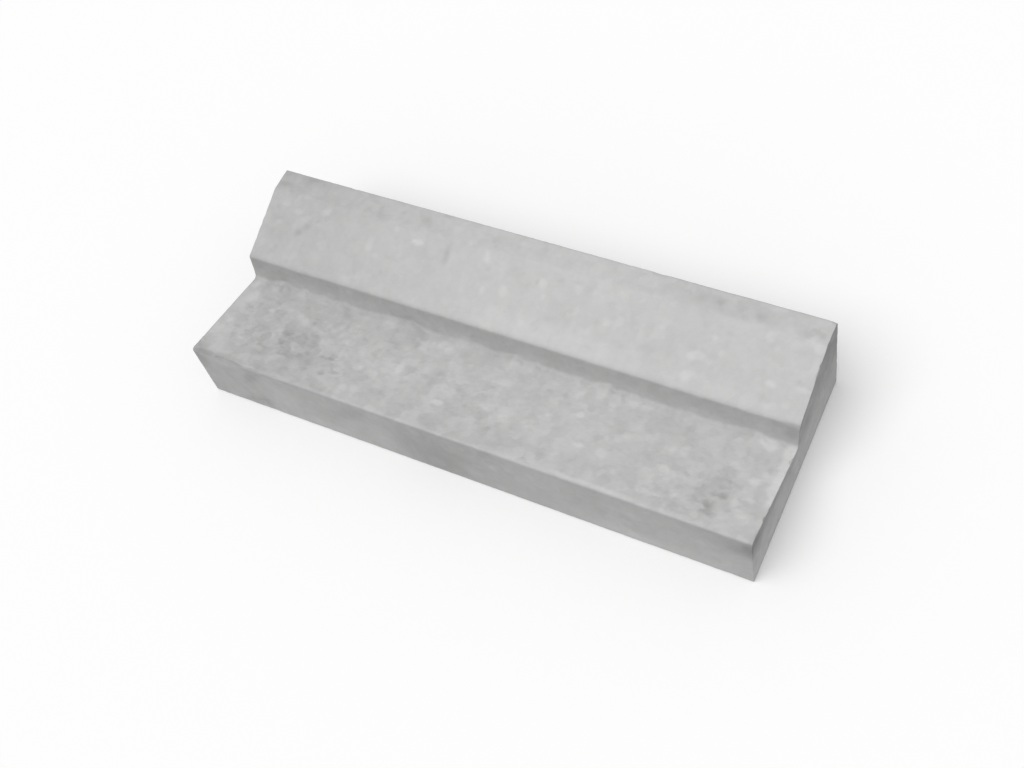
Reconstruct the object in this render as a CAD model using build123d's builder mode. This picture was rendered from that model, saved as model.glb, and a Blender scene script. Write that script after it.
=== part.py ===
"""Precast concrete kerb stone with a water channel along its foot, cast as one piece.

X runs along the kerb, Y from the road side to the footway side, Z up from the bed.
The origin is the middle of the bed. All sizes are in millimetres.
"""

import os

from build123d import *

# Overall size
length = 800  # one unit along the road
width = 295  # road face to back face, at the bed
back_height = 140  # bed to crest

# Channel: it falls from the lip on the road side to the foot of the riser
lip_height = 100
lip_draft = 6  # the road face leans back by this much from bed to lip
channel_width = 150  # lip to foot of riser
channel_fall = 35

# Riser and splay: the upstand that turns a wheel, and the slope above it
riser_height = 40
riser_draft = 7  # the riser leans back by this much from foot to nosing
crest_width = 35  # level strip along the back

# Rounded edges of the mould
lip_radius = 3
foot_radius = 5  # hollow corner where the channel meets the riser
nosing_radius = 3
crest_radius = 4
back_radius = 3
bed_radius = 2
end_radius = 2  # arris round both end faces


def section_corners():
    """Sharp corners of the section as (y, z), each with its radius, from the road face round to the back."""
    road = -width / 2
    back = width / 2
    lip_y = road + lip_draft
    foot_y = lip_y + channel_width
    foot_z = lip_height - channel_fall
    return [
        ((road, 0), bed_radius),
        ((lip_y, lip_height), lip_radius),
        ((foot_y, foot_z), foot_radius),
        ((foot_y + riser_draft, foot_z + riser_height), nosing_radius),
        ((back - crest_width, back_height), crest_radius),
        ((back, back_height), back_radius),
        ((back, 0), bed_radius),
    ]


corners = section_corners()

with BuildPart() as kerb_stone:
    # Section of the kerb, seen from its +X end
    with BuildSketch(Plane.YZ) as section:
        with BuildLine():
            Polyline(*[point for point, radius in corners], close=True)
        make_face()
        for point, radius in corners:
            fillet(section.vertices().sort_by_distance(point)[0], radius)
    extrude(amount=length / 2, both=True)

    # Arris round the outline of each end face
    end_faces = kerb_stone.faces().sort_by(Axis.X)
    fillet(end_faces[0].edges() + end_faces[-1].edges(), end_radius)

kerb_stone.part.label = "kerb_stone"

os.makedirs("parts", exist_ok=True)
export_step(kerb_stone.part, "parts/kerb_stone.step")
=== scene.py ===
"""Looks of a concrete kerb stone: its cast and worn surface, its material, the studio and the camera.

The kerb's lengths are in millimetres and turn into metres where its mesh is made. Those of the studio
and the camera are in metres. X runs along the kerb, Y from the road side to the back, Z up from the bed.
"""

import math
from collections import namedtuple

import bpy
import numpy as np
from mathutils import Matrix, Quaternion, Vector, geometry, noise


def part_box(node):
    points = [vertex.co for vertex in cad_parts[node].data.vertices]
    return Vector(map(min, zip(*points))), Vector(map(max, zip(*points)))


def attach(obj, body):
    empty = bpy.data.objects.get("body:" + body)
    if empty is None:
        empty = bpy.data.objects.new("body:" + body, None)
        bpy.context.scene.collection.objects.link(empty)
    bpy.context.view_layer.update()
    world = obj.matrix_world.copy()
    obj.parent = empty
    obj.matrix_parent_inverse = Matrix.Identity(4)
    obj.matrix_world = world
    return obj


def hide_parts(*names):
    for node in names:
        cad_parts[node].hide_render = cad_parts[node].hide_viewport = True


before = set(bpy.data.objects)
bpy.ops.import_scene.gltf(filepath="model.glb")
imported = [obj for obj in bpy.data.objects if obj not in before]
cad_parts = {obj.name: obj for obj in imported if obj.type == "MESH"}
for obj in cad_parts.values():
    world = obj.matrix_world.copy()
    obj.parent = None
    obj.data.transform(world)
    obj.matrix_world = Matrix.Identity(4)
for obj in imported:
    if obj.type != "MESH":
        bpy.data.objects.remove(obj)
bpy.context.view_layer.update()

MM = 0.001  # metres in a millimetre
NODE = "kerb_stone"
SEED = 11

# The section's flat faces in order round it, and the corner after each of them
FACES = ("road", "channel", "riser", "splay", "crest", "back", "bed")
CORNERS = ("lip", "foot", "nosing", "brow", "back_edge", "heel", "toe")

# Net of the surface: distances between its points
ACROSS_PITCH = {
    "road": 2.8, "channel": 1.7, "riser": 2.2, "splay": 2.6, "crest": 2.6, "back": 7, "bed": 15,
}
ALONG_PITCH = 2.45
CORNER_PITCH = 1.5
END_PITCH = 3.2
RIM_GAP = 0.7 * END_PITCH  # least distance of an end's inner points from its rim
LEAST_FACE_AREA = 0.005  # square metres; a rounded corner's facets are smaller
LEVEL = 0.01  # a facet whose normal has less than this along the kerb belongs to its sides
ARRIS = 0.6  # radius round both ends
ARRIS_STEPS = 2
CHIPPED = 6  # length at each end whose rows are closer, for the chips of the arris
CHIP_PITCH = 1.2
BLEND_REACH = 5  # how far round a corner the values of its two faces mix
SHEET_MARGIN = 20  # between the sides and the ends on the flat sheet
ENDS = {"right_end": 1e5, "left_end": 2e5}  # where the ends' marks lie, out of the sides' reach

# Noise in layers, each with its share, the size of its lumps and its seed
Layer = namedtuple("Layer", "share cell seed")

# Unevenness of each face, from its highest to its lowest place
UNEVEN = {
    "road": 0.5, "channel": 1.4, "riser": 0.7, "splay": 0.4, "crest": 0.5, "back": 0.6, "bed": 0.8,
    "end": 0.5,
}
PROUD = {"channel": 0.7, "riser": 0.2}  # how far outside the mould's plane its unevenness starts
LEAST_DROP = 0.05  # how far inside that start the highest places lie
LUMPY = {  # how coarse it is
    "road": 0.1, "channel": 1, "riser": 0.15, "splay": 0.03, "crest": 0.1, "back": 0.1, "bed": 0.7,
    "end": 0.3,
}
PLATED = {  # how much its small plates differ in tone and tilt
    "road": 0.3, "channel": 0.92, "riser": 0.33, "splay": 0.27, "crest": 0.4, "back": 0.6, "bed": 0.8,
    "end": 0.7,
}
SEED_STEP = 31.7  # how far apart two seeds lie in the noise
PLATE_KEY = 57  # spreads the plates' middles, so that each draws its own values
PLATE_BEND = 0.3  # how far the rims of the plates wander, in cells
BEND_CELL = 0.7  # and the size of their wandering
BIT_TILT = 0.35  # tilt of the small plates, where the large ones have 1
PLATES_CALM = 0.6  # how much weaker plates are on a lumpy face where it isn't rough
WAVES = (Layer(0.35, 90, 4), Layer(0.2, 30, 5))  # as shares of the unevenness, down to DEEPEST
LUMP_RISE = 0.2
PIT_SINK = 0.4
LUMPY_SINK = 0.1  # how much lower a lumpy face lies
LUMPY_CALM = 0.6  # how much weaker its waves are
USUAL_DROP = 0.5
DEEPEST = 1.3
ROUGH_LEAST = 0.25  # outside the rough stretches
ROUGH_MOST = 1.1
FLECK_RISE = 0.4  # how far pale flecks rise from a lumpy face and dark ones sink into it
HOLLOW_DEPTH = 0.5  # depth of a hollow whose strength is 1

# Ragged rims: how far noise and plates bend the rims of hollows, flecks and stains
RAG_NOISE = 0.8
RAG_BITS = 0.6
FLECK_RAG = 0.6
FLECK_PLATES = 0.8
STAIN_RAG = 0.5
WIDE_RAGS = (Layer(0.7, 15, 12), Layer(0.7, 40, 13))
RAGGED_LEAST = 0.35  # keeps a rim from reaching too far out
FADE = 1.8  # how fast a tint fades out from its middle

# Wear of the edges: how deep it usually goes
EDGE_WEAR = {"lip": 0.2, "nosing": 0.5, "brow": 0.3, "back_edge": 0.6, "heel": 0.4, "toe": 0.1}
END_WEAR = {-1: 0.2, 1: 1.0}  # left end and right end
EDGE_REACH = 18  # farther from an edge nothing is cut
ALONG_EDGES = (1, 0.4, 0.4)  # so that the noise goes straight across an edge
BARE_DEPTH = 1.2  # an edge cut this deep is all bare paste
END_BARE_DEPTH = 1.5
EDGE_USUAL = 0.6  # wear where the noise is 0, as a share of the usual depth
EDGE_NOISE = (Layer(0.7, 48, 0), Layer(0.45, 7, 20))
EDGE_CHIPS = 5  # how much deeper chips go
EDGE_CHIPPED = 0.35  # noise at which they start
KNOCK_EVEN = 0.6  # share of a break that is even
KNOCK_UNEVEN = 0.6  # share that follows the wear of its edge
KNOCK_DARK = 0.7  # how much less bare a break looks
BROAD_CHIPS = 4  # of the ends
BROAD_CHIPPED = 0.3
SMALL_CHIPS = 4.8
SMALL_CHIPPED = 0.05
CHIP_GRIT = 0.5
UNCHIPPED = 0.1  # taken off, so that some of the arris stays whole

# The hollow corner at the foot of the riser: its paste, its wandering line and the painted shade along it
FOOT_REACH = 30  # farther from the corner nothing moves
ALONG_FOOT = (1, 0.3, 0.3)
FOOT_FILL = 2.6  # thickness of the paste where there is much of it
PASTE = (Layer(0.9, 55, 40), Layer(0.6, 17, 41))
PASTE_USUAL = 0.4
PASTE_MOST = 1.2
FILL_SPREAD = 9  # how far the paste reaches over the riser and the channel
FOOT_WANDER = 1.2  # how far the corner wanders by itself
FOOT_WAVES = (Layer(0.5, 40, 43), Layer(1, 14, 45))
FOOT_SINK = 1.0  # how far it lies below its usual place where no paste climbs
WANDER_SPREAD = 13  # how far the riser and the channel wander with it
WANDER_WAY = (0.35, 0.6)  # how far back and up it moves for each millimetre
STEEP_SIDE = 3  # a climb falls this much faster to the right of its top
# Painted shade along that hollow corner, which darkens the light its rounded foot catches
FOOT_SHADE_RADIUS = 3.6
FOOT_SHADE_VARIES = 1.2  # by how much that radius differs along the kerb
FOOT_SHADE_SHIFT = (-1, 0)  # from the corner to the middle of the painted shade

# Dirt, painted shade and a darkening towards the left: where each lies, and how much each cause brings
DIM_FROM = -60  # x from which the kerb gets darker towards the left
DIM_OVER = 300  # length over which it does
DIM_MOST = 0.3  # darkening at the left end of a face whose share is 1
DIM = {"splay": 0.9, "crest": 1.1, "riser": 0.3, "channel": 0.6}
HIGH = 100  # height at which the painted shade on the riser and the road face is darkest
RISER_SHADE = 0.7  # painted shade on the riser at that height, less the value below
RISER_LESS_SHADE = 0.22
ROAD_DIRT = 0.05
ROAD_HIGH_SHADE = 0.14  # painted shade: how much darker still the road face is at that height
# painted shade in the hollow corner at the foot of the riser
FOOT_SHADE_AMOUNT = 0.2
LUMPY_DIRT = 0.02
DIP_DIRT = 0.05
PIT_DIRT = 0.08
HOLLOW_DIRT = 0.17
HOLLOW_MOST = 2  # a deeper hollow is no dirtier
STAIN_DIRT = 0.6
END_TOP_DIRT = 0.3
END_BACK_DIRT = 0.15
RUN_DIRT = 0.25  # where dirt has run down the ends
RUN_LENGTH = 14
RUN_LONGER = 24  # how much farther it has run in streaks
RUN_RAGGED = 8
DOWN_ENDS = (1, 1, 0.3)  # draws those streaks out downwards

# Bare paste, and painted light low on the ends: how much each cause brings
PLATE_BARE = 0.48
BIT_BARE = 0.2
LUMP_BARE = 0.08
EDGE_BARE = 0.5
CHIP_BARE = 0.8
LOW_PAINTED_LIGHT = 0.85  # painted light at the bottom of the ends
LOW = 60  # height under which the ends are painted lighter

# Grey of the concrete, what changes it, and its finest grain
BASE_GREY = 0.55
# dirt and painted shade darken the grey; bare paste and painted light make it paler
DIRT_AND_SHADE_SHARE = -0.25
BARE_AND_LIGHT_SHARE = 0.10
CLOUD_SHARE = 0.05
MOTTLE_SHARE = 0.055
SAND_SHARE = 0.06
MIDDLE = 0.5  # of the grain's noise
BUMP = 0.7  # height of the finest grain
BUMP_STRENGTH = 0.2
LUMPY_BUMP = -0.08  # how much that changes on a lumpy face
SAND_BUMP = 0.4  # share of the sand in that grain

# Studio, with the lamp's spread in degrees
WHITE = (1, 1, 1, 1)
FLOOR_REACH = 12
FLOOR_GREY = (0.5, 0.5, 0.5, 1)  # as the kerb's sides see it
SKY_LIGHT = 0.6  # the camera itself sees the sky as 1
LAMP_LIGHT = 1.35
LAMP_SPREAD = 50
LAMP_WAY = (0.25, 0.4, -1)

# Camera, with its lens in millimetres and its roll in degrees
SPOT = (0.6669, -0.6856, 1.5072)
AIM = (0.0003, 0.0019, 0.0)
LENS = 46.56
ROLL = -21.28

Run = namedtuple("Run", "start end normal")
Outline = namedtuple("Outline", "points normals face arc starts corners")

# For each point of the surface: its place and the way out of it; its place along the kerb and round the
# section, or across and up on an end; its point of the section, its distance from the end's rim and its
# share in the end face. Then the corners of the facets
Surface = namedtuple("Surface", "points leans along arc starts ring gap inner quads triangles")
Mark = namedtuple("Mark", "face x across long wide strength tilt", defaults=(0,))
Knock = namedtuple("Knock", "corner x long depth lean", defaults=(0,))
Climb = namedtuple("Climb", "x long wander")
Cast = namedtuple("Cast", "drop lumpy plated plates bits lumps pits hollows pale dark rag")

# Places where an edge is knocked off more, and how far the break leans to the face before it, in degrees
KNOCKS = [
    Knock("lip", -260, 240, 0.9),
    Knock("lip", -379, 44, 4.0),
    Knock("lip", -346, 60, 2.6, 35),
    Knock("lip", -300, 26, 1.6, 20),
    Knock("nosing", 398, 50, 2.2),
    Knock("back_edge", 250, 200, 0.6),
    Knock("back_edge", 402, 22, 2.2),
    Knock("heel", 402, 24, 1.0),
]

# Places where paste climbs up the foot of the riser: x of its top, length and how far the corner wanders
CLIMBS = [
    Climb(-345, 56, 9),
    Climb(-311, 30, 5.4),
    Climb(-277, 46, 4.2),
    Climb(-246, 44, 3.6),
    Climb(-140, 140, 9),
    Climb(-37, 110, 3.6),
    Climb(20, 64, 7.2),
    Climb(50, 36, 4.2),
    Climb(72, 40, 3),
    Climb(113, 50, 3.6),
    Climb(153, 50, 7.8),
    Climb(172, 24, 3),
    Climb(190, 34, 1.8),
    Climb(265, 70, 2.64),
    Climb(348, 100, 6.6),
    Climb(383, 24, 2.16),
]

# Hollows that stand out: x from the middle, distance across the face, size, strength and tilt in degrees.
# For marks on an end, x is the place across the kerb and the distance is the height
HOLLOWS = [
    Mark("channel", -289, 73, 14, 8, 0.8, 27),
    Mark("channel", -292, 56, 13, 10, 1, -15),
    Mark("channel", -278, 41, 18, 13, 1.8, -20),
    Mark("channel", -255, 83, 18, 8, 1, -10),
    Mark("channel", -261, 68, 11, 8, 0.8, 20),
    Mark("channel", -259, 45, 13, 8, 0.7, 30),
    Mark("channel", -216, 56, 25, 9, 1.5, 8),
    Mark("channel", -211, 28, 11, 9, 1.3, -25),
    Mark("channel", -185, 30, 14, 8, 0.9, 30),
    Mark("channel", -234, 26, 11, 8, 0.9, 40),
    Mark("channel", -340, 119, 14, 9, 1, -40),
    Mark("channel", -222, 115, 9, 8, 1),
    Mark("channel", -157, 135, 12, 8, 1.2, 5),
    Mark("channel", -116, 125, 8, 12, 1),
    Mark("channel", -124, 106, 10, 13, 0.9, -20),
    Mark("channel", -101, 56, 14, 8, 0.8, 15),
    Mark("channel", -5, 54, 9, 8, 0.9),
    Mark("channel", 24, 53, 26, 12, 0.8, 5),
    Mark("channel", 16, 81, 24, 9, 0.8, 25),
    Mark("channel", 32, 26, 16, 12, 0.8),
    Mark("channel", 132, 108, 15, 10, 0.6),
    Mark("channel", 214, 34, 16, 7, 0.8, -50),
    Mark("channel", 255, 26, 12, 7, 1, 20),
    Mark("channel", 282, 28, 10, 8, 1),
    Mark("channel", 332, 31, 15, 10, 2, -40),
    Mark("channel", 340, 48, 17, 9, 1.6, 20),
    Mark("channel", 346, 70, 10, 10, 1.2),
    Mark("channel", 360, 69, 9, 10, 1),
    Mark("channel", 317, 25, 13, 12, 1.3),
    Mark("channel", 335, 19, 20, 6, 1.2),
    Mark("channel", 382, 106, 9, 9, 1.3),
    Mark("channel", 388, 38, 20, 8, 0.7, -70),
    Mark("splay", 382, 49, 8, 8, 1.2),
    Mark("crest", 378, 14, 12, 8, 1.2),
    Mark("crest", 391, 11, 9, 9, 1.2),
]

# Rough stretches of the channel
ROUGH = [
    Mark("channel", -255, 60, 340, 130, 0.8),
    Mark("channel", 10, 55, 180, 100, 0.45),
    Mark("channel", 320, 45, 160, 100, 0.7),
]

# Darker stains, in the same terms, with how dark each is
STAINS = [
    Mark("road", -30, 28, 140, 180, 0.65),
    Mark("road", -312, 73, 60, 24, 0.45, 45),
    Mark("road", -160, 64, 110, 34, 0.45, 37),
    Mark("road", -325, 10, 60, 30, 0.4, 30),
    Mark("road", -397, 90, 40, 80, 0.6),
    Mark("road", -305, 22, 20, 44, 0.3, 10),
    Mark("road", 50, 84, 36, 18, 0.25, 35),
    Mark("road", 50, 45, 100, 90, 0.12),
    Mark("road", -350, 55, 100, 90, 0.14),
    Mark("road", 190, 70, 110, 40, 0.2, 40),
    Mark("road", 388, 74, 74, 44, 0.6, 10),
    Mark("road", 400, 80, 40, 56, 0.6),
    Mark("road", 350, 90, 130, 26, 0.3),
    Mark("road", -390, 10, 50, 40, 0.35),
    Mark("road", -290, 98, 260, 26, 0.25),
    Mark("splay", -338, 50, 16, 11, 0.5, 10),
    Mark("splay", -328, 62, 28, 11, 0.35, 45),
    Mark("splay", -112, 78, 12, 40, 0.45),
    Mark("splay", -365, 20, 10, 16, 0.2),
    Mark("splay", -380, 40, 16, 20, 0.15),
    Mark("splay", -383, 78, 10, 10, 0.25),
    Mark("splay", -196, 30, 6, 6, 0.25),
    Mark("splay", -48, 76, 9, 9, 0.25),
    Mark("splay", -113, 28, 14, 8, 0.15),
    Mark("splay", -20, 36, 12, 8, 0.2),
    Mark("splay", 23, 77, 7, 9, 0.35),
    Mark("splay", 55, 87, 12, 8, 0.3, 20),
    Mark("splay", 78, 91, 13, 5, 0.3, 15),
    Mark("splay", 118, 47, 10, 17, 0.3),
    Mark("splay", 57, 36, 26, 10, 0.2, 15),
    Mark("splay", 93, 30, 8, 10, 0.2),
    Mark("splay", 160, 67, 8, 16, 0.2),
    Mark("splay", 193, 36, 28, 14, 0.2),
    Mark("splay", 160, 28, 10, 8, 0.2),
    Mark("splay", 244, 54, 24, 14, 0.2, 30),
    Mark("splay", 118, 15, 16, 6, 0.2),
    Mark("splay", 283, 82, 14, 8, 0.2),
    Mark("splay", 345, 19, 12, 12, 0.25),
    Mark("splay", 378, 84, 8, 12, 0.2),
    Mark("crest", -375, 30, 130, 26, 0.35),
    Mark("crest", -388, 11, 32, 14, 0.5, 5),
    Mark("crest", -373, 2, 9, 6, 0.3),
    Mark("crest", -350, 29, 26, 8, 0.4),
    Mark("crest", -158, 14, 26, 20, 0.45),
    Mark("crest", -135, 30, 20, 7, 0.45),
    Mark("crest", -55, 12, 8, 10, 0.3),
    Mark("crest", -20, 15, 8, 8, 0.25),
    Mark("crest", 275, 12, 200, 30, 0.22, 2),
    Mark("crest", 235, 16, 18, 16, 0.25),
    Mark("crest", 257, 16, 18, 13, 0.4, 10),
    Mark("crest", 312, 11, 17, 13, 0.4),
    Mark("channel", -238, 132, 44, 18, 0.35, -15),
    Mark("channel", -275, 55, 190, 110, 0.35),
    Mark("channel", 20, 26, 640, 70, 0.16),
    Mark("channel", 310, 18, 130, 30, 0.15),
    Mark("channel", -150, 125, 110, 60, 0.3),
    Mark("channel", 325, 45, 100, 70, 0.3),
    Mark("riser", -395, 20, 60, 34, 0.1),
    Mark("riser", 392, 16, 30, 40, 0.5),
    Mark("channel", -346, 2, 56, 12, 0.5),
    Mark("channel", -376, -2, 44, 15, 0.4),
    Mark("road", -380, 97, 34, 16, 0.3),
    Mark("right_end", -124, 74, 54, 50, 0.45),
    Mark("right_end", -132, 88, 26, 22, 0.4),
    Mark("right_end", 110, 112, 90, 44, 0.3, 15),
    Mark("right_end", 138, 108, 26, 60, 0.4),
    Mark("right_end", 30, 74, 56, 56, 0.45),
    Mark("right_end", -18, 56, 34, 20, 0.4, -15),
    Mark("right_end", -8, 32, 60, 44, 0.12),
    Mark("left_end", 60, 85, 110, 60, 0.35, 25),
    Mark("left_end", -90, 40, 80, 50, 0.3, -20),
    Mark("back", 250, 60, 260, 160, 0.3),
    Mark("back", -180, 30, 200, 60, 0.3, 10),
    Mark("back", -330, 90, 120, 90, 0.25, -20),
    Mark("back", 40, 20, 160, 36, 0.3, 5),
]

# Paler patches of bare paste, those longer than BROAD without a clear rim
BROAD = 45
PATCHES = [
    Mark("splay", -307, 88, 16, 11, 0.6, 40),
    Mark("splay", -350, 78, 20, 9, 0.5),
    Mark("splay", -158, 84, 20, 8, 0.9, 8),
    Mark("splay", -227, 63, 14, 26, 0.45),
    Mark("splay", 32, 77, 14, 17, 0.6, 30),
    Mark("splay", -55, 90, 11, 22, 0.45, 10),
    Mark("splay", -17, 54, 13, 18, 0.45, 30),
    Mark("splay", 147, 58, 15, 17, 0.5),
    Mark("splay", 250, 44, 22, 10, 0.55, 15),
    Mark("splay", 350, 38, 14, 10, 0.6),
    Mark("splay", 60, 14, 260, 40, 0.35),
    Mark("splay", 125, 94, 190, 44, 0.22),
    Mark("splay", 300, 12, 180, 30, 0.15),
    Mark("splay", -380, 16, 60, 40, 0.25),
    Mark("splay", 393, 94, 13, 14, 0.5),
    Mark("splay", 378, 98, 20, 12, 0.3, 30),
    Mark("splay", 394, 70, 10, 26, 0.4),
    Mark("splay", 365, 92, 18, 12, 0.35, -40),
    Mark("splay", -397, 62, 16, 26, 0.5),
    Mark("splay", -345, 101, 12, 8, 0.4),
    Mark("splay", -372, 84, 16, 10, 0.4, -10),
    Mark("splay", -335, 72, 20, 9, 0.35, 20),
    Mark("splay", -310, 67, 14, 10, 0.3, -40),
    Mark("splay", -373, 58, 10, 10, 0.35),
    Mark("splay", -350, 57, 9, 8, 0.35),
    Mark("splay", -247, 102, 12, 6, 0.35, 10),
    Mark("splay", -212, 50, 14, 8, 0.35),
    Mark("splay", -195, 93, 8, 7, 0.35),
    Mark("splay", -180, 62, 12, 20, 0.15),
    Mark("splay", -163, 41, 14, 8, 0.2),
    Mark("splay", -130, 78, 12, 16, 0.15),
    Mark("splay", -47, 46, 9, 14, 0.45),
    Mark("splay", -85, 101, 12, 12, 0.2),
    Mark("splay", -332, 18, 16, 14, 0.2),
    Mark("splay", -230, 15, 14, 8, 0.25),
    Mark("splay", -245, 8, 16, 8, 0.25),
    Mark("splay", 38, 62, 7, 10, 0.35, -20),
    Mark("splay", 20, 21, 10, 10, 0.25),
    Mark("splay", 82, 82, 14, 14, 0.3),
    Mark("splay", 103, 85, 9, 14, 0.25),
    Mark("splay", 88, 58, 8, 12, 0.25),
    Mark("splay", 105, 33, 16, 12, 0.25),
    Mark("splay", 133, 52, 15, 7, 0.4, 30),
    Mark("splay", 138, 75, 14, 6, 0.25, -10),
    Mark("splay", 165, 91, 16, 8, 0.4, 40),
    Mark("splay", 178, 57, 10, 26, 0.25),
    Mark("splay", 200, 67, 14, 8, 0.3, 10),
    Mark("splay", 272, 42, 10, 8, 0.3),
    Mark("splay", 268, 72, 10, 8, 0.45),
    Mark("splay", 282, 57, 9, 12, 0.4),
    Mark("splay", 248, 18, 14, 14, 0.45),
    Mark("splay", 332, 92, 14, 17, 0.5),
    Mark("splay", 345, 81, 8, 8, 0.3),
    Mark("splay", 375, 18, 12, 12, 0.45, 20),
    Mark("splay", 358, 12, 24, 10, 0.3, 15),
    Mark("splay", 388, 41, 20, 8, 0.5),
    Mark("splay", 280, 97, 60, 14, 0.2),
    Mark("channel", -340, 101, 13, 9, 0.65),
    Mark("channel", -350, 41, 13, 8, 0.52),
    Mark("channel", -315, 34, 15, 9, 0.59, -15),
    Mark("channel", -305, 18, 18, 11, 0.52),
    Mark("channel", -252, 91, 30, 9, 0.52, -15),
    Mark("channel", -226, 74, 40, 26, 0.33),
    Mark("channel", -166, 58, 11, 9, 0.45),
    Mark("channel", -149, 88, 18, 19, 0.59, 20),
    Mark("channel", -116, 76, 12, 22, 0.65),
    Mark("channel", -86, 135, 11, 18, 0.59),
    Mark("channel", -106, 126, 14, 22, 0.45, 10),
    Mark("channel", -41, 43, 18, 12, 1.3, 10),
    Mark("channel", -214, 113, 13, 18, 0.45),
    Mark("channel", -229, 109, 10, 9, 0.45),
    Mark("channel", -144, 124, 18, 14, 0.39, 30),
    Mark("channel", -385, 40, 46, 80, 0.4),
    Mark("channel", -392, 118, 44, 70, 0.6),
    Mark("channel", 200, 137, 420, 40, 0.18),
    Mark("channel", 25, 141, 11, 9, 0.52),
    Mark("channel", 122, 124, 10, 15, 0.39),
    Mark("channel", 137, 95, 13, 15, 0.72, 20),
    Mark("channel", 167, 123, 13, 20, 0.45, 10),
    Mark("channel", 155, 51, 16, 9, 0.65, 10),
    Mark("channel", 185, 51, 15, 15, 0.59, 30),
    Mark("channel", 212, 89, 30, 13, 0.45, 10),
    Mark("channel", 266, 58, 13, 13, 0.59),
    Mark("channel", 277, 94, 13, 22, 0.45, -10),
    Mark("channel", 150, 95, 140, 90, 0.2),
    Mark("channel", 275, 20, 22, 9, 0.39),
    Mark("channel", 345, 57, 15, 5, 0.59, 20),
    Mark("channel", 360, 44, 13, 22, 0.65),
    Mark("channel", 370, 83, 18, 13, 0.59, 20),
    Mark("channel", 377, 54, 11, 9, 0.65),
    Mark("channel", 366, 142, 24, 18, 1.3),
    Mark("channel", 397, 105, 20, 110, 1.2),
    Mark("channel", 396, 55, 12, 24, 0.52),
    Mark("channel", 200, 1, 130, 8, 0.9),
    Mark("channel", 105, 1, 90, 7, 0.33),
    Mark("channel", 310, 1, 100, 6, 0.26),
    Mark("road", 320, 8, 190, 40, 0.5),
    Mark("road", 228, 8, 120, 36, 0.6),
    Mark("road", -195, 8, 130, 32, 0.4),
    Mark("road", -275, 50, 60, 110, 0.3, 15),
    Mark("road", -110, 20, 50, 60, 0.3, 20),
]

# Small features scattered at random: how many on each face, their sizes and their strengths
AIR_HOLES = {"road": 8, "riser": 2, "splay": 4, "crest": 3, "back": 45, "bed": 40}
HOLE_SIZES = (4.5, 7.5)
HOLE_STRENGTHS = (0.5, 1.2)
PALE_FLECKS = {"road": 14, "channel": 90, "riser": 8, "splay": 60, "crest": 24, "back": 60, "bed": 60}
PALE_SIZES = (9, 24)
PALE_STRENGTHS = (0.1, 0.4)
DARK_FLECKS = {"road": 14, "channel": 50, "riser": 8, "splay": 30, "crest": 14, "back": 50, "bed": 40}
DARK_SIZES = (7, 18)
DARK_STRENGTHS = (0.03, 0.14)
FLECK_SHARE = {"road": 1, "channel": 1.4, "riser": 1, "splay": 0.35, "crest": 0.6, "back": 1, "bed": 1}
ROUNDNESS = (0.55, 1)  # width for each millimetre of length
TILTS = (-90, 90)
END_MARGIN = 12  # the features keep away from the ends
SIDE_MARGIN = 4  # and from the edges of their face

# Pits of the channel, half of them in its rough stretches
CHANNEL_PITS = 150
PIT_SIZES = (5, 15)
PIT_ROUNDNESS = (0.35, 0.75)
PIT_STRENGTHS = (0.15, 0.6)
PIT_END_MARGIN = 10
PIT_SIDE_MARGINS = (6, 8)  # at the lip and at the riser
ROUGH_SHARES = (0.55, 0.2, 0.25)  # of the pits that lie in rough stretches, how many lie in each
ROUGH_SPREAD = 0.2  # how far they scatter, for each millimetre of the stretch


def section_runs():
    """The flat faces of the CAD solid as straight runs of its section, in order from the road face."""
    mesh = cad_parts[NODE].data
    flats = {}
    for facet in mesh.polygons:
        if abs(facet.normal.x) < LEVEL and facet.area > LEAST_FACE_AREA:
            key = (round(facet.normal.y, 3), round(facet.normal.z, 3))
            places = [np.array(mesh.vertices[number].co.yz) / MM for number in facet.vertices]
            flats.setdefault(key, []).extend(places)
    runs = []
    for key, corners in flats.items():
        normal = np.array(key) / np.linalg.norm(key)
        onward = np.array((normal[1], -normal[0]))
        corners.sort(key=lambda corner: corner @ onward)
        runs.append(Run(corners[0], corners[-1], normal))
    chain = [min(runs, key=lambda run: run.start[0])]
    while len(chain) < len(runs):
        here = chain[-1].end
        chain.append(min(runs, key=lambda run: np.linalg.norm(run.start - here)))
    return dict(zip(FACES, chain, strict=True))


def rounded_corner(run, after):
    """Points and normals on the arc between two runs, from end to end."""
    turn = after.normal - run.normal
    radius = (after.start - run.end) @ turn / (turn @ turn)
    angle = math.atan2(np.cross(run.normal, after.normal), run.normal @ after.normal)
    steps = 2 * max(2, round(abs(radius * angle) / CORNER_PITCH / 2))
    turned = np.linspace(0, angle, steps + 1)[:, None]
    side = np.array((-run.normal[1], run.normal[0]))
    normals = np.cos(turned) * run.normal + np.sin(turned) * side
    return run.end + radius * (normals - run.normal), normals


def blended(shares, points, faces):
    """A value of each face at the points round the section, blended over the corners."""
    values = np.array([shares.get(name, 0) for name in FACES])[faces]
    distances = np.linalg.norm(points[:, None] - points, axis=2)
    weights = np.maximum(0, 1 - distances / BLEND_REACH)
    return weights @ values / weights.sum(axis=1)


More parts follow.
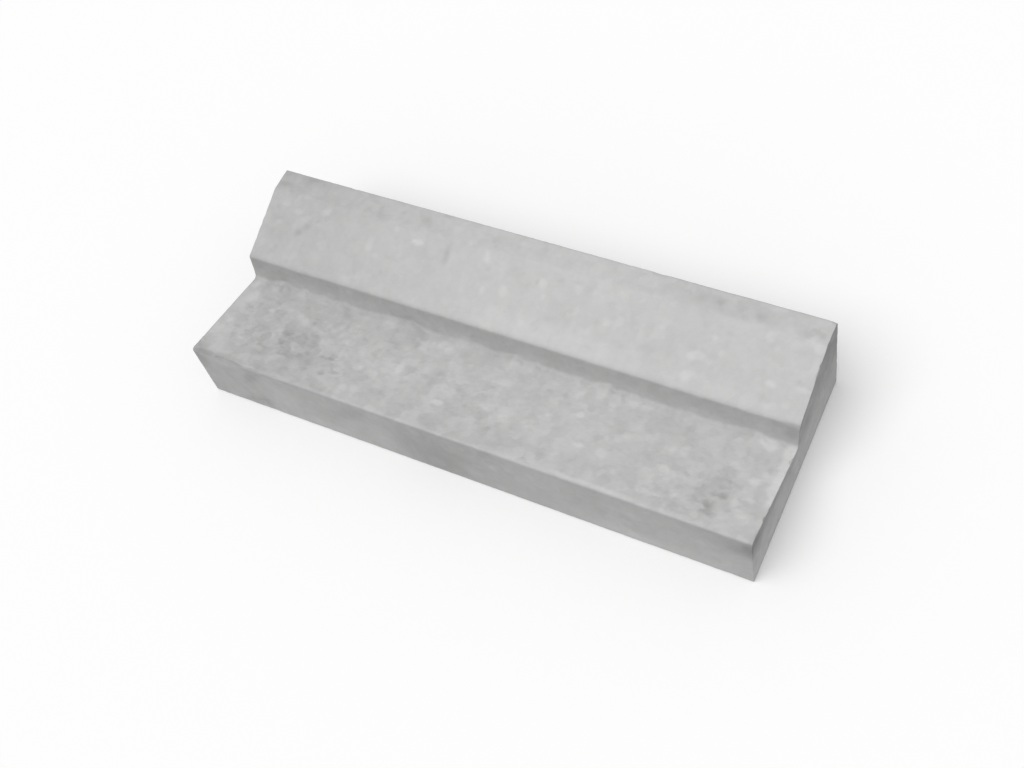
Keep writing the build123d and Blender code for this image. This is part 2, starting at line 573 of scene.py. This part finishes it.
def section_outline(runs):
    """Points round the section, where each face starts, and each corner's middle and direction."""
    parts = []
    firsts = {}
    corners = {}
    for number, name in enumerate(FACES):
        run = runs[name]
        following = (number + 1) % len(FACES)
        length = np.linalg.norm(run.end - run.start)
        across = np.linspace(0, length, round(length / ACROSS_PITCH[name]) + 1)
        straight = run.start + across[:, None] / length * (run.end - run.start)
        firsts[name] = sum(len(part[0]) for part in parts)
        parts.append((straight, np.tile(run.normal, (len(across), 1)), np.full(len(across), number)))
        arc, normals = rounded_corner(run, runs[FACES[following]])
        middle = len(arc) // 2
        corners[CORNERS[number]] = (arc[middle], normals[middle])
        faces = np.where(np.arange(1, len(arc) - 1) <= middle, number, following)
        parts.append((arc[1:-1], normals[1:-1], faces))
    points, normals, faces = [np.concatenate(column) for column in zip(*parts)]
    points += blended(PROUD, points, faces)[:, None] * normals
    steps = np.linalg.norm(np.roll(points, -1, axis=0) - points, axis=1)
    round_it = np.concatenate(((0,), np.cumsum(steps)))
    starts = {name: round_it[first] for name, first in firsts.items()}
    return Outline(points, normals, faces, round_it, starts, corners)


def stations(half_length):
    """Places along the kerb, and how far the surface has turned towards the end face at each."""
    straight = half_length - ARRIS
    even = straight - CHIPPED
    middle = np.linspace(-even, even, round(2 * even / ALONG_PITCH) + 1)
    close = np.linspace(even, straight, round(CHIPPED / CHIP_PITCH) + 1)[1:]
    turned = np.linspace(0, math.pi / 2, ARRIS_STEPS + 1)[1:]
    past = np.concatenate((close, straight + ARRIS * np.sin(turned)))
    turned = np.concatenate((0 * close, turned))
    places = np.concatenate((-past[::-1], middle, past))
    return places, np.concatenate((-turned[::-1], 0 * middle, turned))


def lattice(low, high):
    """Points of a triangular lattice over a rectangle."""
    rows = []
    for number, height in enumerate(np.arange(low[1], high[1], END_PITCH * math.sqrt(0.75))):
        places = np.arange(low[0] + number % 2 * END_PITCH / 2, high[0], END_PITCH)
        rows.append(np.column_stack((places, np.full(len(places), height))))
    return np.concatenate(rows)


def net_inside(rim, normals):
    """Points inside an end face, the rim point nearest to each, its distance, and the triangles."""
    onward = np.roll(rim, -1, axis=0) - rim
    shares = (0, 0.25, 0.5, 0.75)
    dense = np.concatenate([rim + share * onward for share in shares])
    owner = np.tile(np.arange(len(rim)), len(shares))
    spots = lattice(rim.min(axis=0), rim.max(axis=0))
    nearest = np.array([np.argmin(((dense - spot) ** 2).sum(axis=1)) for spot in spots])
    depth = ((dense[nearest] - spots) * normals[owner[nearest]]).sum(axis=1)
    inside = depth > RIM_GAP
    edges = [(number, (number + 1) % len(rim)) for number in range(len(rim))]
    points = [Vector(point) for point in np.concatenate((rim, spots[inside]))]
    only_inside, same_place = 1, 1e-6
    placed, _, triangles, *_ = geometry.delaunay_2d_cdt(points, edges, [], only_inside, same_place)
    if len(placed) != len(points):
        raise ValueError("the net of the end face lost or gained points")
    return spots[inside], owner[nearest[inside]], depth[inside], np.array(triangles)


def sheet_quads(rows, count):
    """Corners of the squares of the sheet, which closes on itself round the section."""
    row, column = np.meshgrid(np.arange(rows - 1), np.arange(count), indexing="ij")
    after = (column + 1) % count
    here, there = row * count, (row + 1) * count
    return np.stack((here + column, there + column, there + after, here + after), axis=-1).reshape(-1, 4)


def end_triangles(triangles, rows, count, inner):
    """Corners of the triangles on both ends, which share the sheet's first and last rows."""
    on_rim = triangles < count
    spots = triangles - count + rows * count
    left = np.where(on_rim, triangles, spots)
    right = np.where(on_rim, triangles + (rows - 1) * count, spots + inner)
    return np.concatenate((left[:, ::-1], right))


def plain_surface(outline, half_length):
    """The surface as the mould leaves it: a sheet round the section and a net on each end."""
    along, turned = stations(half_length)
    count, rows = len(outline.points), len(along)
    inset = ARRIS * (1 - np.cos(turned))
    flat = outline.points - inset[:, None, None] * outline.normals
    lean = np.cos(turned)[:, None, None] * outline.normals
    spots, nearest, depth, triangles = net_inside(flat[0], outline.normals)
    points = [np.column_stack((np.repeat(along, count), flat.reshape(-1, 2)))]
    leans = [np.column_stack((np.repeat(np.sin(turned), count), lean.reshape(-1, 2)))]
    for sign in (-1, 1):
        points.append(np.column_stack((np.full(len(spots), sign * half_length), spots)))
        leans.append(np.tile((sign, 0, 0), (len(spots), 1)))
    both_depths = np.tile(depth, 2)
    sides = (ENDS["left_end"], ENDS["right_end"])
    return Surface(
        points=np.concatenate(points),
        leans=np.concatenate(leans),
        along=np.concatenate((np.repeat(along, count), np.tile(spots[:, 0], 2))),
        arc=np.concatenate((np.tile(outline.arc[:-1], rows), *(start + spots[:, 1] for start in sides))),
        starts=outline.starts | ENDS,
        ring=np.concatenate((np.tile(np.arange(count), rows), np.tile(nearest, 2))),
        gap=np.concatenate((np.repeat(inset, count), both_depths + ARRIS)),
        inner=np.concatenate((np.repeat(np.abs(np.sin(turned)), count), np.ones(len(both_depths)))),
        quads=sheet_quads(rows, count),
        triangles=end_triangles(triangles, rows, count, len(spots)),
    )


def field(points, cell, seed):
    """Smooth noise from -1 to 1, with lumps about one cell across."""
    return np.array([noise.noise(place) for place in (points / cell + SEED_STEP * seed).tolist()])


def layered(points, layers, start=0, seed=0):
    """Layers of noise added to a starting value, with their seeds counted from a first one."""
    return sum((layer.share * field(points, layer.cell, seed + layer.seed) for layer in layers), start)


def facets(points, cell, seed):
    """Tones from -1 to 1 and heights of flat plates at odd angles, each about one cell across."""
    bend = [PLATE_BEND * field(points, BEND_CELL * cell, seed + number) for number in range(3)]
    average = Vector((0.5, 0.5, 0.5))
    tones, heights = [], []
    for place in (points / cell + np.column_stack(bend)).tolist():
        middle = noise.voronoi(place)[1][0]
        own = noise.cell_vector(PLATE_KEY * middle)
        tones.append(2 * own.x - 1)
        heights.append((Vector(place) - middle).dot(own - average))
    return np.array(tones), np.array(heights)


def soft_step(values, low, high):
    """0 below low, 1 above high, and a smooth rise between them."""
    share = np.clip((values - low) / (high - low), 0, 1)
    return share * share * (3 - 2 * share)


def per_face(shares, outline, surface):
    """A value of each face at every point, blended over the corners and round the ends."""
    at_ring = blended(shares, outline.points, outline.face)[surface.ring]
    return at_ring + surface.inner * (shares.get("end", 0) - at_ring)


def squared_distance(mark, surface, rag):
    """The points round a mark, and their squared distance from its middle: 1 at its ragged rim."""
    along = surface.along - mark.x
    across = surface.arc - surface.starts[mark.face] - mark.across
    reach = mark.long + mark.wide
    here = np.flatnonzero((np.abs(along) < reach) & (np.abs(across) < reach))
    along = along[here]
    across = across[here]
    tilt = math.radians(mark.tilt)
    u = (along * math.cos(tilt) + across * math.sin(tilt)) / (mark.long / 2)
    v = (across * math.cos(tilt) - along * math.sin(tilt)) / (mark.wide / 2)
    return here, (u * u + v * v) * np.maximum(RAGGED_LEAST, 1 + rag[here])


def dents(marks, surface, rag):
    """The strengths of marks, each shaped as a bowl, added up at every point."""
    strengths = np.zeros(len(surface.points))
    for mark in marks:
        here, distance = squared_distance(mark, surface, rag)
        strengths[here] += mark.strength * np.maximum(0, 1 - distance)
    return strengths


def tints(marks, surface, rag, crisp=1):
    """The strengths of marks, each fading out from its middle, added up at every point."""
    strengths = np.zeros(len(surface.points))
    for mark in marks:
        here, distance = squared_distance(mark, surface, rag)
        strengths[here] += mark.strength * np.exp(-FADE * distance**crisp)
    return strengths


def face_width(runs, name):
    """Width of a face, across the kerb."""
    return np.linalg.norm(runs[name].end - runs[name].start)


def scattered(runs, half_length, counts, sizes, strengths, random):
    """Marks at random places on the faces named in counts."""
    far = half_length - END_MARGIN
    marks = []
    for name, count in counts.items():
        width = face_width(runs, name)
        for _ in range(count):
            x = random.uniform(-far, far)
            long = random.uniform(*sizes)
            wide = long * random.uniform(*ROUNDNESS)
            across = random.uniform(SIDE_MARGIN, width - SIDE_MARGIN)
            tilt = random.uniform(*TILTS)
            marks.append(Mark(name, x, across, long, wide, random.uniform(*strengths), tilt))
    return marks


def channel_pits(runs, half_length, random):
    """Pits of the channel, half of them in its rough stretches."""
    far = half_length - PIT_END_MARGIN
    at_lip, at_riser = PIT_SIDE_MARGINS
    width = face_width(runs, "channel")
    marks = []
    for number in range(CHANNEL_PITS):
        x = random.uniform(-far, far)
        across = random.uniform(at_lip, width - at_riser)
        if number % 2:
            zone = ROUGH[random.choice(len(ROUGH), p=ROUGH_SHARES)]
            x = random.normal(zone.x, ROUGH_SPREAD * zone.long)
            across = random.normal(zone.across, ROUGH_SPREAD * zone.wide)
        long = random.uniform(*PIT_SIZES)
        wide = long * random.uniform(*PIT_ROUNDNESS)
        tilt = random.uniform(*TILTS)
        marks.append(Mark("channel", x, across, long, wide, random.uniform(*PIT_STRENGTHS), tilt))
    return marks


def unevenness(surface, outline, lumpy, rough):
    """Lumps and pits of the surface, and how far they and its waves lie inside the mould's plane."""
    points = surface.points
    lumps = field(points, cell=18, seed=1)
    pits = rough * soft_step(-field(points, cell=7, seed=3), low=0.12, high=0.45)
    rise = LUMP_RISE * soft_step(lumps, low=-0.2, high=0.4) - PIT_SINK * pits - LUMPY_SINK
    height = lumpy * rise + (1 - LUMPY_CALM * lumpy) * layered(points, WAVES)
    return lumps, pits, per_face(UNEVEN, outline, surface) * np.clip(USUAL_DROP - height, 0, DEEPEST)


def flecks(surface, outline, runs, half_length, rag, random):
    """How strong the pale flecks and the dark ones are at every point."""
    shown = per_face(FLECK_SHARE, outline, surface)
    pale = scattered(runs, half_length, PALE_FLECKS, PALE_SIZES, PALE_STRENGTHS, random)
    dark = scattered(runs, half_length, DARK_FLECKS, DARK_SIZES, DARK_STRENGTHS, random)
    return shown * tints(pale, surface, rag, crisp=3), shown * tints(dark, surface, rag, crisp=2.5)


def casting(surface, outline, runs, half_length):
    """The surface as cast: how far it lies inside the mould's plane, and its plates, pits and flecks."""
    random = np.random.default_rng(SEED)
    points = surface.points
    wide_rag = layered(points, WIDE_RAGS)
    rough = np.clip(ROUGH_LEAST + tints(ROUGH, surface, wide_rag), 0, ROUGH_MOST)
    lumpy = per_face(LUMPY, outline, surface)
    plated = per_face(PLATED, outline, surface) * (1 - PLATES_CALM * lumpy * (1 - rough))
    plates, plate_rise = facets(points, cell=15, seed=14)
    bits, bit_rise = facets(points, cell=7, seed=21)
    ragged = RAG_NOISE * field(points, cell=6, seed=11) + RAG_BITS * bits

    lumps, pits, drop = unevenness(surface, outline, lumpy, rough)
    drop -= plated * (plate_rise + BIT_TILT * bit_rise)
    holes = scattered(runs, half_length, AIR_HOLES, HOLE_SIZES, HOLE_STRENGTHS, random)
    hollows = dents(HOLLOWS + holes + channel_pits(runs, half_length, random), surface, ragged)
    fleck_rag = FLECK_RAG * ragged + FLECK_PLATES * plates
    pale, dark = flecks(surface, outline, runs, half_length, fleck_rag, random)
    drop = np.maximum(LEAST_DROP, drop + FLECK_RISE * lumpy * (dark - pale)) + HOLLOW_DEPTH * hollows
    return Cast(drop, lumpy, plated, plates, bits, lumps, pits, hollows, pale, dark, wide_rag)


def knock_off(moved, near, knock, corner, out, uneven):
    """Cuts one break into an edge, and tells how much of it lies at each of the near points."""
    away = (moved[near, 0] - knock.x) / (knock.long / 2)
    depths = knock.depth * np.clip(1 - away * away, 0, 1) * uneven
    lean = math.radians(knock.lean)
    turned = np.array([(math.cos(lean), -math.sin(lean)), (math.sin(lean), math.cos(lean))]) @ out
    cut = np.maximum(0, depths + (moved[near, 1:] - corner) @ turned)
    moved[near, 1:] -= (cut * (depths > 0))[:, None] * turned
    return np.clip(cut / BARE_DEPTH, 0, 1) * (depths > 0)


def wear_edges(moved, surface, outline):
    """Rubs the long edges down, with a chip here and there, and tells where."""
    worn = np.zeros(len(moved))
    stretched = surface.points * ALONG_EDGES
    for seed, (name, depth) in enumerate(EDGE_WEAR.items(), start=20):
        corner, out = outline.corners[name]
        near = np.linalg.norm(moved[:, 1:] - corner, axis=1) < EDGE_REACH
        here = stretched[near]
        chips = EDGE_CHIPS * np.maximum(0, field(here, cell=22, seed=seed + 10) - EDGE_CHIPPED)
        uneven = layered(here, EDGE_NOISE, EDGE_USUAL, seed) + chips
        cut = np.maximum(0, depth * uneven + (moved[near, 1:] - corner) @ out)
        moved[near, 1:] -= cut[:, None] * out
        worn[near] += np.clip(cut / BARE_DEPTH, 0, 1)
        for knock in KNOCKS:
            if knock.corner == name:
                broken = KNOCK_EVEN + KNOCK_UNEVEN * uneven
                worn[near] -= KNOCK_DARK * knock_off(moved, near, knock, corner, out, broken)
    return worn


def wear_ends(moved, surface, outline, half_length):
    """Cuts the arrises of both ends back, here more and there less, and tells where."""
    points = surface.points
    broad = np.maximum(0, field(points, cell=24, seed=7) - BROAD_CHIPPED)
    small = np.maximum(0, field(points, cell=9, seed=58) - SMALL_CHIPPED)
    grit = CHIP_GRIT * field(points, cell=5, seed=9)
    chips = BROAD_CHIPS * broad + SMALL_CHIPS * small - UNCHIPPED + grit
    sides = np.sign(points[:, 0])
    usual = np.where(sides < 0, END_WEAR[-1], END_WEAR[1])
    facing_up = soft_step(outline.normals[surface.ring, 1], low=-0.5, high=0.9)
    depth = np.maximum(0, usual * facing_up * chips)
    from_end = half_length - np.abs(points[:, 0])
    cut = np.maximum(0, depth + ARRIS * (math.sqrt(2) - 1) - (surface.gap + from_end) / math.sqrt(2))
    out = np.column_stack((sides, outline.normals[surface.ring])) / math.sqrt(2)
    moved -= cut[:, None] * out
    return np.clip(cut / END_BARE_DEPTH, 0, 1)


def foot_wander(here):
    """How far the foot of the riser lies from its usual place, at points along it."""
    wander = FOOT_WANDER * layered(here, FOOT_WAVES) - FOOT_SINK
    for climb in CLIMBS:
        away = (here[:, 0] - climb.x) / (climb.long / 2)
        slope = np.where(away > 0, STEEP_SIDE, 1)
        wander += climb.wander * np.clip(1 - np.abs(away) * slope, 0, 1)
    return wander


def fill_foot(moved, surface, outline):
    """Lets the foot of the riser wander, with uneven paste along it. Gives the painted shade in its
    hollow corner.
    """
    corner, out = outline.corners["foot"]
    distance = np.linalg.norm(moved[:, 1:] - corner, axis=1)
    near = np.flatnonzero(distance < FOOT_REACH)
    distance = distance[near]
    here = surface.points[near] * ALONG_FOOT
    amount = np.clip(layered(here, PASTE, PASTE_USUAL), 0, PASTE_MOST)
    fill = FOOT_FILL * amount * np.exp(-((distance / FILL_SPREAD) ** 2))
    moved[near, 1:] += fill[:, None] * out
    wander = foot_wander(here) * np.exp(-((distance / WANDER_SPREAD) ** 2))
    moved[near, 1:] += wander[:, None] * WANDER_WAY
    # painted shade: a soft dark band round the hollow corner at the foot
    apart = np.linalg.norm(surface.points[near, 1:] - corner - FOOT_SHADE_SHIFT, axis=1)
    radius = FOOT_SHADE_RADIUS + FOOT_SHADE_VARIES * field(here, cell=30, seed=42)
    foot_shade = np.zeros(len(moved))
    foot_shade[near] = np.exp(-((apart / radius) ** 2))
    return foot_shade


def end_grime(surface, outline):
    """Dirt on the end faces, run down in patches from their upper edges."""
    points = surface.points
    first, last = FACES.index("channel"), FACES.index("crest")
    upper = outline.points[(outline.face >= first) & (outline.face <= last)]
    below = np.interp(points[:, 1], upper[:, 0], upper[:, 1]) - points[:, 2]
    streaks = soft_step(field(points * DOWN_ENDS, cell=38, seed=46), low=-0.3, high=0.5)
    length = RUN_LENGTH + RUN_LONGER * streaks + RUN_RAGGED * field(points, cell=9, seed=47)
    return soft_step(1 - below / length, low=0, high=0.9)


def dirt_and_shade_on(surface, outline, cast, foot_shade):
    """How dark dirt, stains and painted shade make the surface: shade on the riser, at its foot and high
    on the road face.
    """
    points = surface.points
    dim = DIM_MOST * np.clip((DIM_FROM - points[:, 0]) / DIM_OVER, 0, 1)
    upward = np.clip(points[:, 2] / HIGH, 0, 1)
    dirt_and_shade = dim * per_face(DIM, outline, surface)
    # painted shade: the riser darker, most towards its top
    on_riser = RISER_SHADE * upward - RISER_LESS_SHADE
    # the riser's painted shade, and painted shade in the hollow corner at its foot
    dirt_and_shade += per_face({"riser": 1}, outline, surface) * on_riser + FOOT_SHADE_AMOUNT * foot_shade
    # the road face darker all over, and painted shade that makes it darker towards its top
    dirt_and_shade += per_face({"road": 1}, outline, surface) * (ROAD_DIRT + ROAD_HIGH_SHADE * upward)
    dips = soft_step(-cast.lumps, low=0.1, high=0.35)
    dirt_and_shade += cast.lumpy * (LUMPY_DIRT + DIP_DIRT * dips + PIT_DIRT * cast.pits)
    dirt_and_shade += cast.dark + HOLLOW_DIRT * np.clip(cast.hollows, 0, HOLLOW_MOST)
    dirt_and_shade += STAIN_DIRT * tints(STAINS, surface, STAIN_RAG * cast.rag, crisp=1.3)
    top = soft_step(points[:, 2], low=45, high=90)
    back = soft_step(points[:, 1], low=30, high=130)
    on_ends = END_TOP_DIRT * top + END_BACK_DIRT * back + RUN_DIRT * end_grime(surface, outline)
    return dirt_and_shade + surface.inner * on_ends


def bare_and_light_on(surface, cast, edges, ends):
    """How pale bare paste, and painted light at the bottom of the ends, make the surface."""
    bare_and_light = cast.pale + cast.plated * (PLATE_BARE * cast.plates + BIT_BARE * cast.bits)
    bare_and_light += LUMP_BARE * cast.lumpy * soft_step(cast.lumps, low=0.1, high=0.3)
    small = [mark for mark in PATCHES if mark.long < BROAD]
    broad = [mark for mark in PATCHES if mark.long >= BROAD]
    bare_and_light += tints(small, surface, cast.rag, crisp=2.6) + tints(broad, surface, cast.rag, crisp=1.3)
    # painted light: the ends paler towards their bottom
    downward = np.clip(1 - surface.points[:, 2] / LOW, 0, 1)
    return bare_and_light + EDGE_BARE * edges + CHIP_BARE * ends + LOW_PAINTED_LIGHT * surface.inner * downward


def finished_surface(outline, runs, half_length):
    """Points, facets and paint of the kerb as it stands: uneven, pitted, worn and stained, with painted
    shade and painted light in its paint.
    """
    surface = plain_surface(outline, half_length)
    cast = casting(surface, outline, runs, half_length)
    moved = surface.points - cast.drop[:, None] * surface.leans
    foot_shade = fill_foot(moved, surface, outline)
    edges = wear_edges(moved, surface, outline)
    ends = wear_ends(moved, surface, outline, half_length)
    dirt_and_shade = dirt_and_shade_on(surface, outline, cast, foot_shade)
    bare_and_light = bare_and_light_on(surface, cast, edges, ends)
    return moved, surface, {"dirt_and_shade": dirt_and_shade, "bare_and_light": bare_and_light, "lumpy": cast.lumpy}


def flat_map(outline, surface, half_length):
    """Places of the facets' corners on a flat sheet: the unrolled sides, with both ends beside them."""
    count = len(outline.points)
    columns = surface.quads % count
    columns[:, 2:] = np.where(columns[:, 2:] == 0, count, columns[:, 2:])
    sides = np.stack((surface.points[surface.quads, 0] + half_length, outline.arc[columns]), axis=-1)
    low, high = outline.points.min(axis=0), outline.points.max(axis=0)
    first_beside = 2 * half_length + SHEET_MARGIN
    places = surface.points[surface.triangles]
    second = places[:, :, 0].mean(axis=1, keepdims=True) > 0
    beside = first_beside + places[:, :, 2] - low[1]
    upward = places[:, :, 1] - low[0] + second * (high[0] - low[0] + SHEET_MARGIN)
    ends = np.stack((beside, upward), axis=-1)
    whole = max(first_beside + high[1] - low[1], outline.arc[-1])
    return np.concatenate((sides.reshape(-1, 2), ends.reshape(-1, 2))) / whole


def build_kerb():
    """The kerb's visible mesh."""
    half_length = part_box(NODE)[1].x / MM
    runs = section_runs()
    outline = section_outline(runs)
    moved, surface, paint = finished_surface(outline, runs, half_length)
    mesh = bpy.data.meshes.new("kerb_stone_cast")
    mesh.from_pydata((moved * MM).tolist(), [], surface.quads.tolist() + surface.triangles.tolist())
    for name, values in paint.items():
        mesh.attributes.new(name, "FLOAT", "POINT").data.foreach_set("value", values.astype(np.float32))
    flat = flat_map(outline, surface, half_length).astype(np.float32)
    mesh.uv_layers.new(name="OFBake").uv.foreach_set("vector", flat.ravel())
    mesh.shade_smooth()
    kerb = bpy.data.objects.new("kerb_stone_cast", mesh)
    bpy.context.scene.collection.objects.link(kerb)
    return kerb


def make_concrete():
    """Grey concrete: clouded paste, sand grain, dirt in the hollows and bare paste on the edges, and the
    painted shade and painted light in the kerb's paint.
    """
    material = bpy.data.materials.new("weathered_concrete")
    material.use_nodes = True
    nodes, links = material.node_tree.nodes, material.node_tree.links
    shader = nodes["Principled BSDF"]
    shader.inputs["Roughness"].default_value = 0.92
    shader.inputs["Specular IOR Level"].default_value = 0.25
    place = nodes.new("ShaderNodeTexCoord").outputs["Object"]

    def grain(scale, detail):
        texture = nodes.new("ShaderNodeTexNoise")
        texture.inputs["Scale"].default_value = scale
        texture.inputs["Detail"].default_value = detail
        links.new(place, texture.inputs["Vector"])
        return texture.outputs["Fac"]

    def painted(name):
        attribute = nodes.new("ShaderNodeAttribute")
        attribute.attribute_name = name
        return attribute.outputs["Fac"]

    def sum_of(start, *terms):
        """Start, plus each value's distance from its middle times its share."""
        so_far = start - sum(share * middle for value, share, middle in terms)
        for value, share, middle in terms:
            step = nodes.new("ShaderNodeMath")
            step.operation = "MULTIPLY_ADD"
            links.new(value, step.inputs[0])
            step.inputs[1].default_value = share
            if isinstance(so_far, float):
                step.inputs[2].default_value = so_far
            else:
                links.new(so_far, step.inputs[2])
            so_far = step.outputs[0]
        return so_far

    sand = grain(scale=900, detail=2)
    tone = sum_of(
        BASE_GREY,
        (grain(scale=28, detail=4), CLOUD_SHARE, MIDDLE),
        (grain(scale=130, detail=3), MOTTLE_SHARE, MIDDLE),
        (sand, SAND_SHARE, MIDDLE),
        # dirt with painted shade, and bare paste with painted light
        (painted("dirt_and_shade"), DIRT_AND_SHADE_SHARE, 0),
        (painted("bare_and_light"), BARE_AND_LIGHT_SHARE, 0),
    )
    greys = nodes.new("ShaderNodeValToRGB")
    greys.color_ramp.elements[0].color = (0, 0, 0, 1)
    greys.color_ramp.elements[1].color = (1, 1, 0.994, 1)
    links.new(tone, greys.inputs["Fac"])
    links.new(greys.outputs["Color"], shader.inputs["Base Color"])

    strength = sum_of(BUMP_STRENGTH, (painted("lumpy"), LUMPY_BUMP, 0))
    fine = grain(scale=380, detail=4)
    height = sum_of(MIDDLE, (fine, 1, MIDDLE), (sand, SAND_BUMP, MIDDLE))
    bump = nodes.new("ShaderNodeBump")
    bump.inputs["Distance"].default_value = BUMP * MM
    links.new(strength, bump.inputs["Strength"])
    links.new(height, bump.inputs["Height"])
    links.new(bump.outputs["Normal"], shader.inputs["Normal"])
    return material


def seen_share(nodes, links):
    """1 where the camera sees a surface, straight, reflected or through glass, and else 0."""
    path = nodes.new("ShaderNodeLightPath")
    either = path.outputs["Is Camera Ray"]
    for name in ("Is Glossy Ray", "Is Transmission Ray"):
        larger = nodes.new("ShaderNodeMath")
        larger.operation = "MAXIMUM"
        links.new(either, larger.inputs[0])
        links.new(path.outputs[name], larger.inputs[1])
        either = larger.outputs[0]
    return either


def make_floor():
    """A floor that looks white to the camera and throws less light back at the kerb's sides."""
    corners = [(FLOOR_REACH * x, FLOOR_REACH * y, 0) for x, y in ((-1, -1), (1, -1), (1, 1), (-1, 1))]
    mesh = bpy.data.meshes.new("studio_floor")
    mesh.from_pydata(corners, [], [(0, 1, 2, 3)])
    floor = bpy.data.objects.new("studio_floor", mesh)
    bpy.context.scene.collection.objects.link(floor)
    paint = bpy.data.materials.new("studio_paint")
    paint.use_nodes = True
    nodes, links = paint.node_tree.nodes, paint.node_tree.links
    shader = nodes["Principled BSDF"]
    shader.inputs["Roughness"].default_value = 1.0
    shader.inputs["Specular IOR Level"].default_value = 0.0
    colour = nodes.new("ShaderNodeMix")
    colour.data_type = "RGBA"
    colour.inputs["A"].default_value = FLOOR_GREY
    colour.inputs["B"].default_value = WHITE
    links.new(seen_share(nodes, links), colour.inputs["Factor"])
    links.new(colour.outputs["Result"], shader.inputs["Base Color"])
    mesh.materials.append(paint)


def make_light():
    """Soft light from all round and a wide soft lamp from above on the road side."""
    world = bpy.data.worlds.new("studio")
    world.use_nodes = True
    bpy.context.scene.world = world
    nodes, links = world.node_tree.nodes, world.node_tree.links
    level = nodes.new("ShaderNodeMapRange")
    level.inputs["To Min"].default_value = SKY_LIGHT
    level.inputs["To Max"].default_value = 1.0
    links.new(seen_share(nodes, links), level.inputs["Value"])
    nodes["Background"].inputs["Color"].default_value = WHITE
    links.new(level.outputs["Result"], nodes["Background"].inputs["Strength"])

    lamp = bpy.data.lights.new("soft_lamp", "SUN")
    lamp.energy = LAMP_LIGHT
    lamp.angle = math.radians(LAMP_SPREAD)
    holder = bpy.data.objects.new("soft_lamp", lamp)
    holder.rotation_mode = "QUATERNION"
    holder.rotation_quaternion = Vector(LAMP_WAY).to_track_quat("-Z", "Y")
    bpy.context.scene.collection.objects.link(holder)


def make_camera():
    """A camera at a standing person's eye level, turned as the photograph was."""
    spot = Vector(SPOT)
    data = bpy.data.cameras.new("camera")
    data.lens = LENS
    camera = bpy.data.objects.new("camera", data)
    camera.location = spot
    camera.rotation_mode = "QUATERNION"
    roll = Quaternion((0, 0, 1), math.radians(ROLL))
    camera.rotation_quaternion = (Vector(AIM) - spot).to_track_quat("-Z", "Y") @ roll
    bpy.context.scene.collection.objects.link(camera)
    bpy.context.scene.camera = camera


kerb = build_kerb()
kerb.data.materials.append(make_concrete())
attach(kerb, "root")
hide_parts(NODE)
make_floor()
make_light()
make_camera()
bpy.context.scene.view_settings.view_transform = "Standard"
